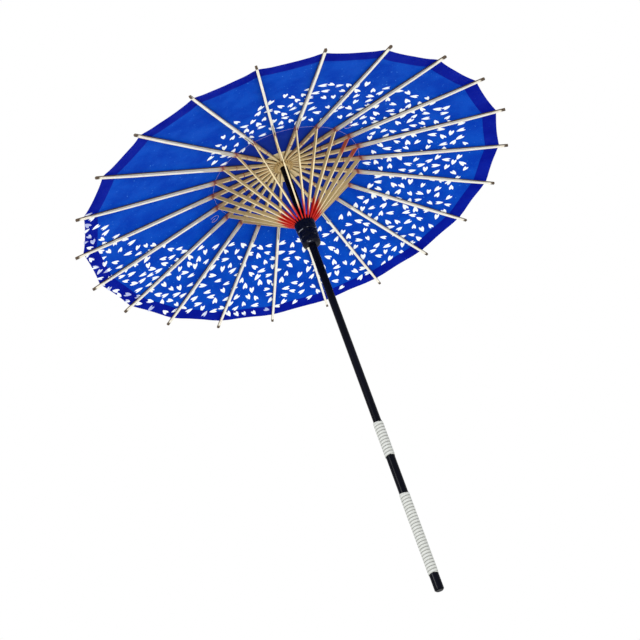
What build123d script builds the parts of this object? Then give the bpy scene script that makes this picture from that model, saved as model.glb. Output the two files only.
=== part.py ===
"""A Japanese paper parasol: 22 bamboo ribs and 22 stretchers on a lacquered shaft, under a paper canopy.

Millimetres. The origin is the centre of the shaft's lower end face, +Z runs up the shaft to the crown,
and rib_01 lies over +X. The parasol is drawn open.
"""

import os
from math import acos, cos, degrees, radians, sin, tan

from build123d import *

# ---- driving dimensions -------------------------------------------------------------------------
RIB_COUNT = 22
PITCH = 360 / RIB_COUNT
HALF_PITCH = PITCH / 2

# Radial fit of pieces that are pressed or wound on, and how far a cutting shape runs past its stock.
PRESS_FIT = 0.02
OVERCUT = 1.0

# The shaft is thicker along its handle, and its bare lower end is thicker again.
SHAFT_RADIUS = 6.4
HANDLE_RADIUS = 7.0
HANDLE_TOP = 286.0
SHAFT_END_RADIUS = 7.3
SHAFT_END_LENGTH = 25.0
SHAFT_END_CHAMFER = 1.8

# Linkage of one rib and its stretcher, in the plane that holds the shaft's axis.
HUB_PIVOT_RADIUS = 14.0
HUB_PIVOT_HEIGHT = 791.8
TIP_RADIUS = 375.0
OPEN_DROOP = 12.05
CLOSED_DROOP = 86.3
PIVOT_TO_JOINT = 116.4
JOINT_DROP = 3.4
RUNNER_PIVOT_RADIUS = 15.6
STRETCHER_SPAN = 146.2

# Bamboo sections. A rib's upper face is straight, and its depth is greatest round the joint: each pair is
# a distance along the rib from its hub pivot, and the depth of its lower face under the pivot line there.
RIB_TOP = 2.25
RIB_NOSE_RADIUS = 2.1
RIB_UNDERSIDE = ((8.0, 2.3), (75.0, 4.9), (110.0, 5.0), (165.0, 3.9), (300.0, 2.9))
RIB_TIP_UNDERSIDE = 1.15
# Distance along the rib, and its width there.
RIB_WIDTHS = ((8.0, 2.4), (14.0, 3.2), (75.0, 3.8))
RIB_BLADE_WIDTH = 2.4
RIB_WIDTH = 3.8
TIP_HOLE_RADIUS = 0.7
TIP_HOLE_INSET = 5.0
TIP_HOLE_RISE = 0.5
JOINT_SLOT_WIDTH = 2.1
JOINT_SLOT_INWARD = 12.0
JOINT_SLOT_OUTWARD = 43.0
JOINT_SLOT_TOP = 0.4

# A stretcher's holes lie near its lower edge, and its blade turns in the rib's slot.
STRETCHER_ABOVE = 4.6
STRETCHER_BELOW = 1.6
STRETCHER_WIDTH = 2.4
STRETCHER_BLADE_WIDTH = 1.7
STRETCHER_BLADE_LENGTH = 46.0
STRETCHER_SHOULDER_LENGTH = 5.0
STRETCHER_TAIL_WIDTH = 2.0
STRETCHER_TAIL_LENGTH = 22.0
STRETCHER_TAIL_SHOULDER = 8.0

# Threads that serve as hinge pins.
THREAD_RADIUS = 0.5
THREAD_FIT = 0.04
TIE_RADIUS = 0.45
THREAD_CLEARANCE = 0.06
RING_THREAD_RADIUS = 0.35
RING_THREAD_LIFT = 1.2
RING_THREAD_GAP = 0.4
THREAD_BORE_MARGIN = 0.3
THREAD_END_GAP = 0.05

# Head hub.
HUB_RADIUS = 17.0
HUB_BOTTOM = 785.3
HUB_SHOULDER = 797.6
HUB_NECK_RADIUS = 11.0
HUB_TOP = 810.5
HUB_SLOT_WIDTH = 2.7
HUB_SLOT_INNER_RADIUS = 11.4
HUB_SLOT_TOP = 794.6
HUB_LOWER_CHAMFER = 1.0
HUB_SHOULDER_CHAMFER = 2.0
HUB_TOP_CHAMFER = 1.5
PEG_RADIUS = 1.25
PEG_INSET = 0.3
SHAFT_TOP = 807.0
SHAFT_TOP_GAP = 0.1

# Runner: three turned steps that widen upward, then the teeth. Each pair is a radius and a height.
RUNNER_BOTTOM = 622.5
RUNNER_STEPS = (
    (11.6, 622.5),
    (14.2, 624.2),
    (15.3, 627.5),
    (15.4, 636.6),
    (14.9, 637.2),
    (15.8, 637.9),
    (16.1, 649.2),
    (15.6, 649.8),
    (16.6, 650.6),
    (17.1, 659.0),
    (17.6, 666.0),
)
RUNNER_COLLAR_TOP = 666.8
RUNNER_TOOTH_RADIUS = 17.2
RUNNER_TOOTH_CHAMFER = 1.0
RUNNER_TOP = 675.4
RUNNER_SLOT_INNER_RADIUS = 12.9
RUNNER_SLOT_WIDTH = 2.5
RUNNER_CLEARANCE = 0.08

# Spring catch below the runner.
CATCH_AZIMUTH = 250.0
CATCH_TOP = 621.9
CATCH_BOTTOM = 588.0
CATCH_PIN_HEIGHT = 592.0
CATCH_PIN_OFFSET = 3.9
CATCH_PIN_RADIUS = 0.8
CATCH_PIN_HALF_LENGTH = 3.6
CATCH_PIN_CLEARANCE = 0.05
CATCH_THICKNESS = 2.0
CATCH_BACK = 2.9
CATCH_FOOT_FRONT = 5.2
CATCH_FLUSH_FRONT = SHAFT_RADIUS - 0.2
CATCH_HEEL_HEIGHT = 3.0
CATCH_NOSE_HEIGHT = 2.5
CATCH_TOP_BACK = 5.6
CATCH_REACH = 9.4
CATCH_SLOT_WIDTH = 2.5
CATCH_SLOT_UPPER_FLOOR = 1.2
CATCH_SLOT_LOWER_FLOOR = 2.2
CATCH_SLOT_HEADROOM = 1.0
CATCH_SLOT_FOOTROOM = 1.5

# Rattan grips.
GRIP_RADIUS = 8.1
GRIP_GROOVE_DEPTH = 0.5
LOWER_GRIP = (SHAFT_END_LENGTH, 161.5, 27)
UPPER_GRIP = (223.5, HANDLE_TOP, 12)

# Paper.
PAPER_GAP = 0.3
PAPER_THICKNESS = 0.25
LINING_THICKNESS = 0.2
CANOPY_INNER_RADIUS = 18.0
CANOPY_EDGE_RADIUS = 361.0
HEM_WIDTH = 23.0
CROWN_DISC_RADIUS = 44.0

# Hood: its outer and inner faces, each from the crown down to the edge, as pairs of radius and height.
HOOD_OUTSIDE = (
    (0, 812.6),
    (10.0, 812.6),
    (11.8, 810.8),
    (11.8, 800.0),
    (15.6, 798.6),
    (17.9, 796.2),
    (18.6, 794.9),
    (27.0, 793.1),
)
HOOD_INSIDE = (
    (0, 812.1),
    (9.8, 812.1),
    (11.3, 810.6),
    (11.3, 799.6),
    (15.3, 798.1),
    (17.4, 796.0),
    (18.3, 794.3),
    (27.0, 792.6),
)
HOOD_WAIST_RADIUS = 11.8
CAP_CORD_RADIUS = 0.8
CAP_CORD_HEIGHTS = (801.6, 803.3)

# ---- geometry worked out from them --------------------------------------------------------------
DROOP = radians(OPEN_DROOP)
RIB_LENGTH = (TIP_RADIUS - HUB_PIVOT_RADIUS) / cos(DROOP)
JOINT_RADIUS = HUB_PIVOT_RADIUS + PIVOT_TO_JOINT * cos(DROOP) - JOINT_DROP * sin(DROOP)
JOINT_HEIGHT = HUB_PIVOT_HEIGHT - PIVOT_TO_JOINT * sin(DROOP) - JOINT_DROP * cos(DROOP)
STRETCHER_ANGLE = degrees(acos((JOINT_RADIUS - RUNNER_PIVOT_RADIUS) / STRETCHER_SPAN))
RUNNER_PIVOT_HEIGHT = JOINT_HEIGHT - STRETCHER_SPAN * sin(radians(STRETCHER_ANGLE))

SHUT = radians(CLOSED_DROOP)
CLOSED_JOINT_RADIUS = HUB_PIVOT_RADIUS + PIVOT_TO_JOINT * cos(SHUT) - JOINT_DROP * sin(SHUT)
CLOSED_JOINT_HEIGHT = HUB_PIVOT_HEIGHT - PIVOT_TO_JOINT * sin(SHUT) - JOINT_DROP * cos(SHUT)
CLOSED_STRETCHER_ANGLE = degrees(acos((CLOSED_JOINT_RADIUS - RUNNER_PIVOT_RADIUS) / STRETCHER_SPAN))
CLOSED_RUNNER_PIVOT_HEIGHT = CLOSED_JOINT_HEIGHT - STRETCHER_SPAN * sin(radians(CLOSED_STRETCHER_ANGLE))
RUNNER_TRAVEL = RUNNER_PIVOT_HEIGHT - CLOSED_RUNNER_PIVOT_HEIGHT
RIB_SWING = CLOSED_DROOP - OPEN_DROOP
STRETCHER_SWING = RIB_SWING + CLOSED_STRETCHER_ANGLE - STRETCHER_ANGLE

RIB_DEPTH = RIB_TOP + max(depth for _, depth in RIB_UNDERSIDE)
RIB_AZIMUTHS = [PITCH * index for index in range(RIB_COUNT)]
GAP_AZIMUTHS = [PITCH * (index + 0.5) for index in range(RIB_COUNT)]


def radial_plane(azimuth):
    """Plane through the shaft's axis: x is the radius, y is height, and its normal is tangential."""
    a = radians(azimuth)
    return Plane(origin=(0, 0, 0), x_dir=(cos(a), sin(a), 0), z_dir=(sin(a), -cos(a), 0))


def member_plane(azimuth, radius, height, angle):
    """Radial plane moved to a pivot, with its x axis turned by angle above the outward horizontal."""
    a = radians(azimuth)
    t = radians(angle)
    start = (radius * cos(a), radius * sin(a), height)
    along = (cos(t) * cos(a), cos(t) * sin(a), sin(t))
    return Plane(origin=start, x_dir=along, z_dir=(sin(a), -cos(a), 0))


def flat_plane(side):
    """The plane across a member: x stays along it and y is its width."""
    return Plane(origin=side.origin, x_dir=side.x_dir, z_dir=side.y_dir)


def rib_plane(azimuth):
    """Side plane of a rib, from its hub pivot outward along its centreline."""
    return member_plane(azimuth, HUB_PIVOT_RADIUS, HUB_PIVOT_HEIGHT, -OPEN_DROOP)


def stretcher_plane(azimuth):
    """Side plane of a stretcher, from its rib joint down to the runner."""
    return member_plane(azimuth, JOINT_RADIUS, JOINT_HEIGHT, 180 + STRETCHER_ANGLE)


def finish_piece(part, name):
    """Labels a finished piece and writes its STEP file."""
    part.label = name
    export_step(part, f"parts/{name}.step")


os.makedirs("parts", exist_ok=True)

# ---- ribs ---------------------------------------------------------------------------------------
# A rib is a blade at the hub and widens outward. Its joint slot is open below and takes the stretcher's
# blade, and the tie is the thread that the blade turns on.
for number, azimuth in enumerate(RIB_AZIMUTHS, start=1):
    side = rib_plane(azimuth)
    flat = flat_plane(side)
    under_line = [(along, -depth) for along, depth in RIB_UNDERSIDE]
    one_edge = [(along, width / 2) for along, width in RIB_WIDTHS]
    with BuildPart() as rib:
        with BuildSketch(side):
            with BuildLine():
                ThreePointArc((0, RIB_NOSE_RADIUS), (-RIB_NOSE_RADIUS, 0), (0, -RIB_NOSE_RADIUS))
                Polyline(
                    (0, -RIB_NOSE_RADIUS),
                    *under_line,
                    (RIB_LENGTH, -RIB_TIP_UNDERSIDE),
                    (RIB_LENGTH, RIB_TOP),
                    (RIB_UNDERSIDE[0][0], RIB_TOP),
                    (0, RIB_NOSE_RADIUS),
                )
            make_face()
        extrude(amount=RIB_WIDTH / 2, both=True)
        with BuildSketch(flat):
            with BuildLine():
                Polyline(
                    (-2 * RIB_NOSE_RADIUS, RIB_BLADE_WIDTH / 2),
                    *one_edge,
                    (RIB_LENGTH, RIB_WIDTH / 2),
                    (RIB_LENGTH, -RIB_WIDTH / 2),
                    *[(along, -half) for along, half in reversed(one_edge)],
                    (-2 * RIB_NOSE_RADIUS, -RIB_BLADE_WIDTH / 2),
                    close=True,
                )
            make_face()
        extrude(amount=2 * RIB_DEPTH, both=True, mode=Mode.INTERSECT)
        slot_middle = PIVOT_TO_JOINT + (JOINT_SLOT_OUTWARD - JOINT_SLOT_INWARD) / 2
        with BuildSketch(flat.offset(JOINT_SLOT_TOP)):
            with Locations((slot_middle, 0)):
                SlotOverall(JOINT_SLOT_INWARD + JOINT_SLOT_OUTWARD, JOINT_SLOT_WIDTH)
        extrude(amount=-2 * RIB_DEPTH, mode=Mode.SUBTRACT)
        with BuildSketch(side):
            Circle(THREAD_RADIUS + THREAD_CLEARANCE)
            with Locations((PIVOT_TO_JOINT, -JOINT_DROP)):
                Circle(TIE_RADIUS + PRESS_FIT)
            with Locations((RIB_LENGTH - TIP_HOLE_INSET, TIP_HOLE_RISE)):
                Circle(TIP_HOLE_RADIUS)
        extrude(amount=RIB_WIDTH, both=True, mode=Mode.SUBTRACT)
        with BuildSketch(side):
            with Locations((PIVOT_TO_JOINT, -JOINT_DROP)):
                Circle(TIE_RADIUS)
        extrude(amount=RIB_WIDTH / 2, both=True)
    finish_piece(rib.part, f"rib_{number:02d}")

# ---- stretchers ---------------------------------------------------------------------------------
# The outer end is a thin blade that turns in the rib's slot, and the inner end is a tail that fits a
# slot of the runner. Both ends are rounded about their pivots.
for number, azimuth in enumerate(RIB_AZIMUTHS, start=1):
    side = stretcher_plane(azimuth)
    flat = flat_plane(side)
    tail_start = STRETCHER_SPAN - STRETCHER_TAIL_LENGTH
    tail_end = STRETCHER_SPAN + STRETCHER_BELOW
    one_edge = [
        (STRETCHER_BLADE_LENGTH, STRETCHER_BLADE_WIDTH / 2),
        (STRETCHER_BLADE_LENGTH + STRETCHER_SHOULDER_LENGTH, STRETCHER_WIDTH / 2),
        (tail_start, STRETCHER_WIDTH / 2),
        (STRETCHER_SPAN - STRETCHER_TAIL_SHOULDER, STRETCHER_TAIL_WIDTH / 2),
    ]
    with BuildPart() as stretcher:
        with BuildSketch(side):
            with BuildLine():
                ThreePointArc((0, STRETCHER_BELOW), (-STRETCHER_BELOW, 0), (0, -STRETCHER_BELOW))
                Polyline(
                    (0, -STRETCHER_BELOW),
                    (STRETCHER_ABOVE, -STRETCHER_ABOVE),
                    (tail_start, -STRETCHER_ABOVE),
                    (STRETCHER_SPAN, -STRETCHER_BELOW),
                )
                ThreePointArc(
                    (STRETCHER_SPAN, -STRETCHER_BELOW),
                    (tail_end, 0),
                    (STRETCHER_SPAN, STRETCHER_BELOW),
                )
                Line((STRETCHER_SPAN, STRETCHER_BELOW), (0, STRETCHER_BELOW))
            make_face()
        extrude(amount=STRETCHER_WIDTH / 2, both=True)
        with BuildSketch(flat):
            with BuildLine():
                Polyline(
                    (-2 * STRETCHER_BELOW, STRETCHER_BLADE_WIDTH / 2),
                    *one_edge,
                    (tail_end + OVERCUT, STRETCHER_TAIL_WIDTH / 2),
                    (tail_end + OVERCUT, -STRETCHER_TAIL_WIDTH / 2),
                    *[(along, -half) for along, half in reversed(one_edge)],
                    (-2 * STRETCHER_BELOW, -STRETCHER_BLADE_WIDTH / 2),
                    close=True,
                )
            make_face()
        extrude(amount=2 * STRETCHER_ABOVE, both=True, mode=Mode.INTERSECT)
        with BuildSketch(side):
            Circle(TIE_RADIUS + THREAD_CLEARANCE)
        extrude(amount=STRETCHER_WIDTH, both=True, mode=Mode.SUBTRACT)
    finish_piece(stretcher.part, f"stretcher_{number:02d}")

# ---- shaft --------------------------------------------------------------------------------------
catch_plane = radial_plane(CATCH_AZIMUTH)
with BuildPart() as shaft:
    with BuildSketch():
        Circle(SHAFT_RADIUS)
    extrude(amount=SHAFT_TOP)
    with BuildSketch():
        Circle(HANDLE_RADIUS)
    extrude(amount=HANDLE_TOP)
    with BuildSketch():
        Circle(SHAFT_END_RADIUS)
    extrude(amount=SHAFT_END_LENGTH)
    chamfer(shaft.edges().filter_by(GeomType.CIRCLE).sort_by(Axis.Z)[0], SHAFT_END_CHAMFER)
    # Slot of the spring catch, open to one side of the shaft.
    with BuildSketch(catch_plane):
        with BuildLine():
            Polyline(
                (CATCH_SLOT_UPPER_FLOOR, CATCH_TOP + CATCH_SLOT_HEADROOM),
                (SHAFT_RADIUS + OVERCUT, CATCH_TOP + CATCH_SLOT_HEADROOM),
                (SHAFT_RADIUS + OVERCUT, CATCH_BOTTOM - CATCH_SLOT_FOOTROOM),
                (CATCH_SLOT_LOWER_FLOOR, CATCH_BOTTOM - CATCH_SLOT_FOOTROOM),
                close=True,
            )
        make_face()
    extrude(amount=CATCH_SLOT_WIDTH / 2, both=True, mode=Mode.SUBTRACT)
    with BuildSketch(catch_plane):
        with Locations((CATCH_PIN_OFFSET, CATCH_PIN_HEIGHT)):
            Circle(CATCH_PIN_RADIUS + PRESS_FIT)
    extrude(amount=SHAFT_RADIUS, both=True, mode=Mode.SUBTRACT)
    # Bore of the peg that holds the head hub.
    with BuildSketch(Plane.XZ):
        with Locations((0, (HUB_SHOULDER + HUB_TOP) / 2)):
            Circle(PEG_RADIUS + PRESS_FIT)
    extrude(amount=SHAFT_RADIUS + OVERCUT, both=True, mode=Mode.SUBTRACT)
finish_piece(shaft.part, "shaft")

# ---- spring catch and its pin -------------------------------------------------------------------
with BuildPart() as spring_catch:
    with BuildSketch(catch_plane):
        with BuildLine():
            Polyline(
                (CATCH_BACK, CATCH_BOTTOM),
                (CATCH_FOOT_FRONT, CATCH_BOTTOM),
                (CATCH_FLUSH_FRONT, CATCH_PIN_HEIGHT + CATCH_HEEL_HEIGHT),
                (CATCH_REACH, CATCH_TOP - CATCH_NOSE_HEIGHT),
                (CATCH_REACH, CATCH_TOP),
                (CATCH_TOP_BACK, CATCH_TOP),
                (CATCH_BACK, CATCH_PIN_HEIGHT + CATCH_HEEL_HEIGHT),
                close=True,
            )
        make_face()
        with Locations((CATCH_PIN_OFFSET, CATCH_PIN_HEIGHT)):
            Circle(CATCH_PIN_RADIUS + CATCH_PIN_CLEARANCE, mode=Mode.SUBTRACT)
    extrude(amount=CATCH_THICKNESS / 2, both=True)
finish_piece(spring_catch.part, "spring_catch")

with BuildPart() as catch_pin:
    with BuildSketch(catch_plane):
        with Locations((CATCH_PIN_OFFSET, CATCH_PIN_HEIGHT)):
            Circle(CATCH_PIN_RADIUS)
    extrude(amount=CATCH_PIN_HALF_LENGTH, both=True)
finish_piece(catch_pin.part, "catch_pin")


# ---- rattan grips -------------------------------------------------------------------------------
# Half section of a wound grip: one shallow arc for each turn of cane.
for grip_name, (bottom, top, turns) in (("lower_grip_wrap", LOWER_GRIP), ("upper_grip_wrap", UPPER_GRIP)):
    inner = HANDLE_RADIUS + PRESS_FIT
    groove = GRIP_RADIUS - GRIP_GROOVE_DEPTH
    step = (top - bottom) / turns
    with BuildPart() as grip:
        with BuildSketch(Plane.XZ):
            with BuildLine():
                Line((inner, bottom), (groove, bottom))
                for turn in range(turns):
                    low = bottom + turn * step
                    ThreePointArc((groove, low), (GRIP_RADIUS, low + step / 2), (groove, low + step))
                Line((groove, top), (inner, top))
                Line((inner, top), (inner, bottom))
            make_face()
        revolve(axis=Axis.Z)
    finish_piece(grip.part, grip_name)

# ---- head hub, its peg and its thread -----------------------------------------------------------
# The thread is a ring of straight runs. Each run passes through one rib, square to it, and the rib
# turns on it; the corners lie inside the hub's teeth.
thread_corner = HUB_PIVOT_RADIUS / cos(radians(HALF_PITCH))
hub_half_run = HUB_PIVOT_RADIUS * tan(radians(HALF_PITCH))

with BuildPart() as hub_thread:
    for azimuth in RIB_AZIMUTHS:
        with BuildSketch(radial_plane(azimuth)):
            with Locations((HUB_PIVOT_RADIUS, HUB_PIVOT_HEIGHT)):
                Circle(THREAD_RADIUS)
        extrude(amount=hub_half_run, both=True)
    with Locations(*[
        (thread_corner * cos(radians(a)), thread_corner * sin(radians(a)), HUB_PIVOT_HEIGHT)
        for a in GAP_AZIMUTHS
    ]):
        Sphere(THREAD_RADIUS)
finish_piece(hub_thread.part, "hub_thread")

with BuildPart() as head_hub:
    with BuildSketch(Plane.XZ):
        with BuildLine():
            Polyline(
                (SHAFT_RADIUS + PRESS_FIT, HUB_BOTTOM),
                (HUB_RADIUS - HUB_LOWER_CHAMFER, HUB_BOTTOM),
                (HUB_RADIUS, HUB_BOTTOM + HUB_LOWER_CHAMFER),
                (HUB_RADIUS, HUB_SHOULDER - HUB_SHOULDER_CHAMFER),
                (HUB_RADIUS - HUB_SHOULDER_CHAMFER, HUB_SHOULDER),
                (HUB_NECK_RADIUS, HUB_SHOULDER),
                (HUB_NECK_RADIUS, HUB_TOP - HUB_TOP_CHAMFER),
                (HUB_NECK_RADIUS - HUB_TOP_CHAMFER, HUB_TOP),
                (0, HUB_TOP),
                (0, SHAFT_TOP + SHAFT_TOP_GAP),
                (SHAFT_RADIUS + PRESS_FIT, SHAFT_TOP + SHAFT_TOP_GAP),
                close=True,
            )
        make_face()
    revolve(axis=Axis.Z)
    # One slot for each rib, open outward and downward so that the rib can hang beside the shaft.
    for azimuth in RIB_AZIMUTHS:
        with BuildSketch(radial_plane(azimuth)):
            with BuildLine():
                Polyline(
                    (HUB_SLOT_INNER_RADIUS, HUB_BOTTOM - OVERCUT),
                    (HUB_RADIUS + OVERCUT, HUB_BOTTOM - OVERCUT),
                    (HUB_RADIUS + OVERCUT, HUB_SLOT_TOP),
                    (HUB_SLOT_INNER_RADIUS, HUB_SLOT_TOP),
                    close=True,
                )
            make_face()
        extrude(amount=HUB_SLOT_WIDTH / 2, both=True, mode=Mode.SUBTRACT)
    for azimuth in RIB_AZIMUTHS:
        with BuildSketch(radial_plane(azimuth)):
            with Locations((HUB_PIVOT_RADIUS, HUB_PIVOT_HEIGHT)):
                Circle(THREAD_RADIUS + THREAD_FIT)
        extrude(amount=hub_half_run + THREAD_BORE_MARGIN, both=True, mode=Mode.SUBTRACT)
    with BuildSketch(Plane.XZ):
        with Locations((0, (HUB_SHOULDER + HUB_TOP) / 2)):
            Circle(PEG_RADIUS + PRESS_FIT)
    extrude(amount=HUB_NECK_RADIUS + OVERCUT, both=True, mode=Mode.SUBTRACT)
finish_piece(head_hub.part, "head_hub")

with BuildPart() as hub_peg:
    with BuildSketch(Plane.XZ):
        with Locations((0, (HUB_SHOULDER + HUB_TOP) / 2)):
            Circle(PEG_RADIUS)
    extrude(amount=HUB_NECK_RADIUS - PEG_INSET, both=True)
finish_piece(hub_peg.part, "hub_peg")

# ---- runner and its thread ----------------------------------------------------------------------
# A turned wooden sleeve. Its teeth stand round the top, and the stretchers' tails sit between them.
runner_half_run = RUNNER_PIVOT_RADIUS * tan(radians(HALF_PITCH))
with BuildPart() as runner:
    with BuildSketch(Plane.XZ):
        bore = SHAFT_RADIUS + RUNNER_CLEARANCE
        with BuildLine():
            Polyline(
                (bore, RUNNER_BOTTOM),
                *RUNNER_STEPS,
                (RUNNER_TOOTH_RADIUS, RUNNER_COLLAR_TOP),
                (RUNNER_TOOTH_RADIUS, RUNNER_TOP - RUNNER_TOOTH_CHAMFER),
                (RUNNER_TOOTH_RADIUS - RUNNER_TOOTH_CHAMFER, RUNNER_TOP),
                (bore, RUNNER_TOP),
                close=True,
            )
        make_face()
    revolve(axis=Axis.Z)
    for azimuth in RIB_AZIMUTHS:
        with BuildSketch(radial_plane(azimuth)):
            with BuildLine():
                Polyline(
                    (RUNNER_SLOT_INNER_RADIUS, RUNNER_COLLAR_TOP),
                    (RUNNER_TOOTH_RADIUS + OVERCUT, RUNNER_COLLAR_TOP),
                    (RUNNER_TOOTH_RADIUS + OVERCUT, RUNNER_TOP + OVERCUT),
                    (RUNNER_SLOT_INNER_RADIUS, RUNNER_TOP + OVERCUT),
                    close=True,
                )
            make_face()
        extrude(amount=RUNNER_SLOT_WIDTH / 2, both=True, mode=Mode.SUBTRACT)
    for azimuth in RIB_AZIMUTHS:
        with BuildSketch(radial_plane(azimuth)):
            with Locations((RUNNER_PIVOT_RADIUS, RUNNER_PIVOT_HEIGHT)):
                Circle(THREAD_RADIUS + THREAD_FIT)
        extrude(amount=runner_half_run + THREAD_BORE_MARGIN, both=True, mode=Mode.SUBTRACT)
finish_piece(runner.part, "runner")

# The runner's thread fills the teeth only: the stretchers' tails leave it free at this end.
with BuildPart() as runner_thread:
    tooth_corner = RUNNER_PIVOT_RADIUS / cos(radians(HALF_PITCH))
    slot_edge = RUNNER_SLOT_WIDTH / 2 + THREAD_END_GAP
    run_length = runner_half_run - slot_edge
    for azimuth in RIB_AZIMUTHS:
        for side_sign in (-1, 1):
            start_plane = radial_plane(azimuth).offset(side_sign * slot_edge)
            with BuildSketch(start_plane):
                with Locations((RUNNER_PIVOT_RADIUS, RUNNER_PIVOT_HEIGHT)):
                    Circle(THREAD_RADIUS)
            extrude(amount=side_sign * run_length)
    with Locations(*[
        (tooth_corner * cos(radians(a)), tooth_corner * sin(radians(a)), RUNNER_PIVOT_HEIGHT)
        for a in GAP_AZIMUTHS
    ]):
        Sphere(THREAD_RADIUS)
finish_piece(runner_thread.part, "runner_thread")

# ---- ring thread between the rib joints ---------------------------------------------------------
# One run in each gap, from a rib's side to the next rib's side, above the stretchers' slots.
ring_height = HUB_PIVOT_HEIGHT - (JOINT_RADIUS - HUB_PIVOT_RADIUS) * tan(DROOP) + RING_THREAD_LIFT
ring_half_run = JOINT_RADIUS * sin(radians(HALF_PITCH)) - RIB_WIDTH / 2 - RING_THREAD_GAP
with BuildPart() as joint_thread:
    for azimuth in GAP_AZIMUTHS:
        with BuildSketch(radial_plane(azimuth)):
            with Locations((JOINT_RADIUS * cos(radians(HALF_PITCH)), ring_height)):
                Circle(RING_THREAD_RADIUS)
        extrude(amount=ring_half_run, both=True)
finish_piece(joint_thread.part, "joint_thread")

# ---- hood over the crown ------------------------------------------------------------------------
# A thin cap that is drawn over the hub's neck and shoulder, tied below the neck, and laid on the paper.
with BuildPart() as crown_cap:
    with BuildSketch(Plane.XZ):
        with BuildLine():
            Polyline(*HOOD_OUTSIDE, *reversed(HOOD_INSIDE), close=True)
        make_face()
    revolve(axis=Axis.Z)
finish_piece(crown_cap.part, "crown_cap")

with BuildPart() as cap_cord:
    for turn_height in CAP_CORD_HEIGHTS:
        with Locations((0, 0, turn_height)):
            Torus(HOOD_WAIST_RADIUS + CAP_CORD_RADIUS, CAP_CORD_RADIUS)
finish_piece(cap_cord.part, "cap_cord")


# ---- paper --------------------------------------------------------------------------------------
def paper_height(radius, lift):
    """Height of a sheet's face over a rib's middle, lift above the rib's upper face."""
    over_pivot = HUB_PIVOT_HEIGHT + (RIB_TOP + lift) / cos(DROOP)
    return over_pivot - (radius - HUB_PIVOT_RADIUS) * tan(DROOP)


# Each sheet is a shallow pyramid shell, folded along every rib and straight from rib to rib.
for paper_name, inner, outer, lift, thickness in (
    ("canopy", CANOPY_INNER_RADIUS, CANOPY_EDGE_RADIUS, PAPER_GAP + LINING_THICKNESS, PAPER_THICKNESS),
    ("canopy_hem", CANOPY_EDGE_RADIUS - HEM_WIDTH, CANOPY_EDGE_RADIUS, PAPER_GAP, LINING_THICKNESS),
    ("crown_disc", CANOPY_INNER_RADIUS, CROWN_DISC_RADIUS, PAPER_GAP, LINING_THICKNESS),
):
    with BuildPart() as paper:
        for face_lift, mode in ((lift + thickness, Mode.ADD), (lift, Mode.SUBTRACT)):
            for radius in (outer + OVERCUT, inner - OVERCUT):
                with BuildSketch(Plane.XY.offset(paper_height(radius, face_lift))):
                    RegularPolygon(radius, RIB_COUNT)
            loft(ruled=True, mode=mode)
        trim_bottom = paper_height(outer, 0) - OVERCUT
        with BuildSketch(Plane.XY.offset(trim_bottom)):
            RegularPolygon(outer, RIB_COUNT)
            RegularPolygon(inner, RIB_COUNT, mode=Mode.SUBTRACT)
        extrude(amount=HUB_TOP - trim_bottom, mode=Mode.INTERSECT)
    finish_piece(paper.part, paper_name)

print(f"runner pivot {RUNNER_PIVOT_HEIGHT:.3f}, travel {RUNNER_TRAVEL:.3f}")
print(f"rib swing {RIB_SWING:.4f} deg, stretcher swing {STRETCHER_SWING:.4f} deg")
print(f"joint radius {JOINT_RADIUS:.3f}, height {JOINT_HEIGHT:.3f}")
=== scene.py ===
"""Looks of a Japanese paper parasol: paper, thread, cane and finishes over the CAD frame.

Metres, in the row frame: the origin is the centre of the shaft's lower end face, +Z runs up the shaft
to the crown, and rib_01 lies over +X. The parasol stands open at rest.
"""

import math
import random

import bpy
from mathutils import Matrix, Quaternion, Vector, noise


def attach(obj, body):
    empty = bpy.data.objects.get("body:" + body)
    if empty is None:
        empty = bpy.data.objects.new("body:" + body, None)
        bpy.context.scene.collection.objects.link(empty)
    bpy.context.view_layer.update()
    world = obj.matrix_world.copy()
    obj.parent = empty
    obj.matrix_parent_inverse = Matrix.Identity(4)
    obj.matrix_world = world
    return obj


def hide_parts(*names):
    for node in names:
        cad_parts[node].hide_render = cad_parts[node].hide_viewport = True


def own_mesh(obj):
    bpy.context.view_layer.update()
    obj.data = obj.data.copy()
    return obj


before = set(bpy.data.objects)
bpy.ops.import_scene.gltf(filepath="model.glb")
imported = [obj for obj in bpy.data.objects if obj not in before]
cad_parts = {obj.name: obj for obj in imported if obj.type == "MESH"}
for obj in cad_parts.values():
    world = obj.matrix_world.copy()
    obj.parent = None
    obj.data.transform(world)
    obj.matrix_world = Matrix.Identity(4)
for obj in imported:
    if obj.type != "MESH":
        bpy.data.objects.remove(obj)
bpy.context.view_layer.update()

# ---- sizes shared with the CAD ------------------------------------------------------------------
RIB_COUNT = 22
PITCH = 2 * math.pi / RIB_COUNT
HALF_PITCH = PITCH / 2
DROOP = math.radians(12.05)
HUB_PIVOT_RADIUS = 0.014
HUB_PIVOT_HEIGHT = 0.7918
RIB_TOP = 0.00225
RIB_LINE_HEIGHT = HUB_PIVOT_HEIGHT * math.cos(DROOP) + HUB_PIVOT_RADIUS * math.sin(DROOP)
RIB_HALF_WIDTH = 0.0019
TIP_RADIUS = 0.375
JOINT_RADIUS = 0.127125
JOINT_HEIGHT = 0.764175
RUNNER_PIVOT_RADIUS = 0.0156
RUNNER_PIVOT_HEIGHT = 0.669641
RUNNER_EDGE_HEIGHTS = (0.6242, 0.6372, 0.6502)
STRETCHER_RISE = math.atan2(JOINT_HEIGHT - RUNNER_PIVOT_HEIGHT, JOINT_RADIUS - RUNNER_PIVOT_RADIUS)
PAPER_INNER_RADIUS = 0.018
PAPER_EDGE_RADIUS = 0.361
HEM_RADIUS = 0.338
CROWN_DISC_RADIUS = 0.044
HANDLE_RADIUS = 0.007
GRIP_RADIUS = 0.0081
LOWER_GRIP = (0.025, 0.1615, 27)
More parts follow.
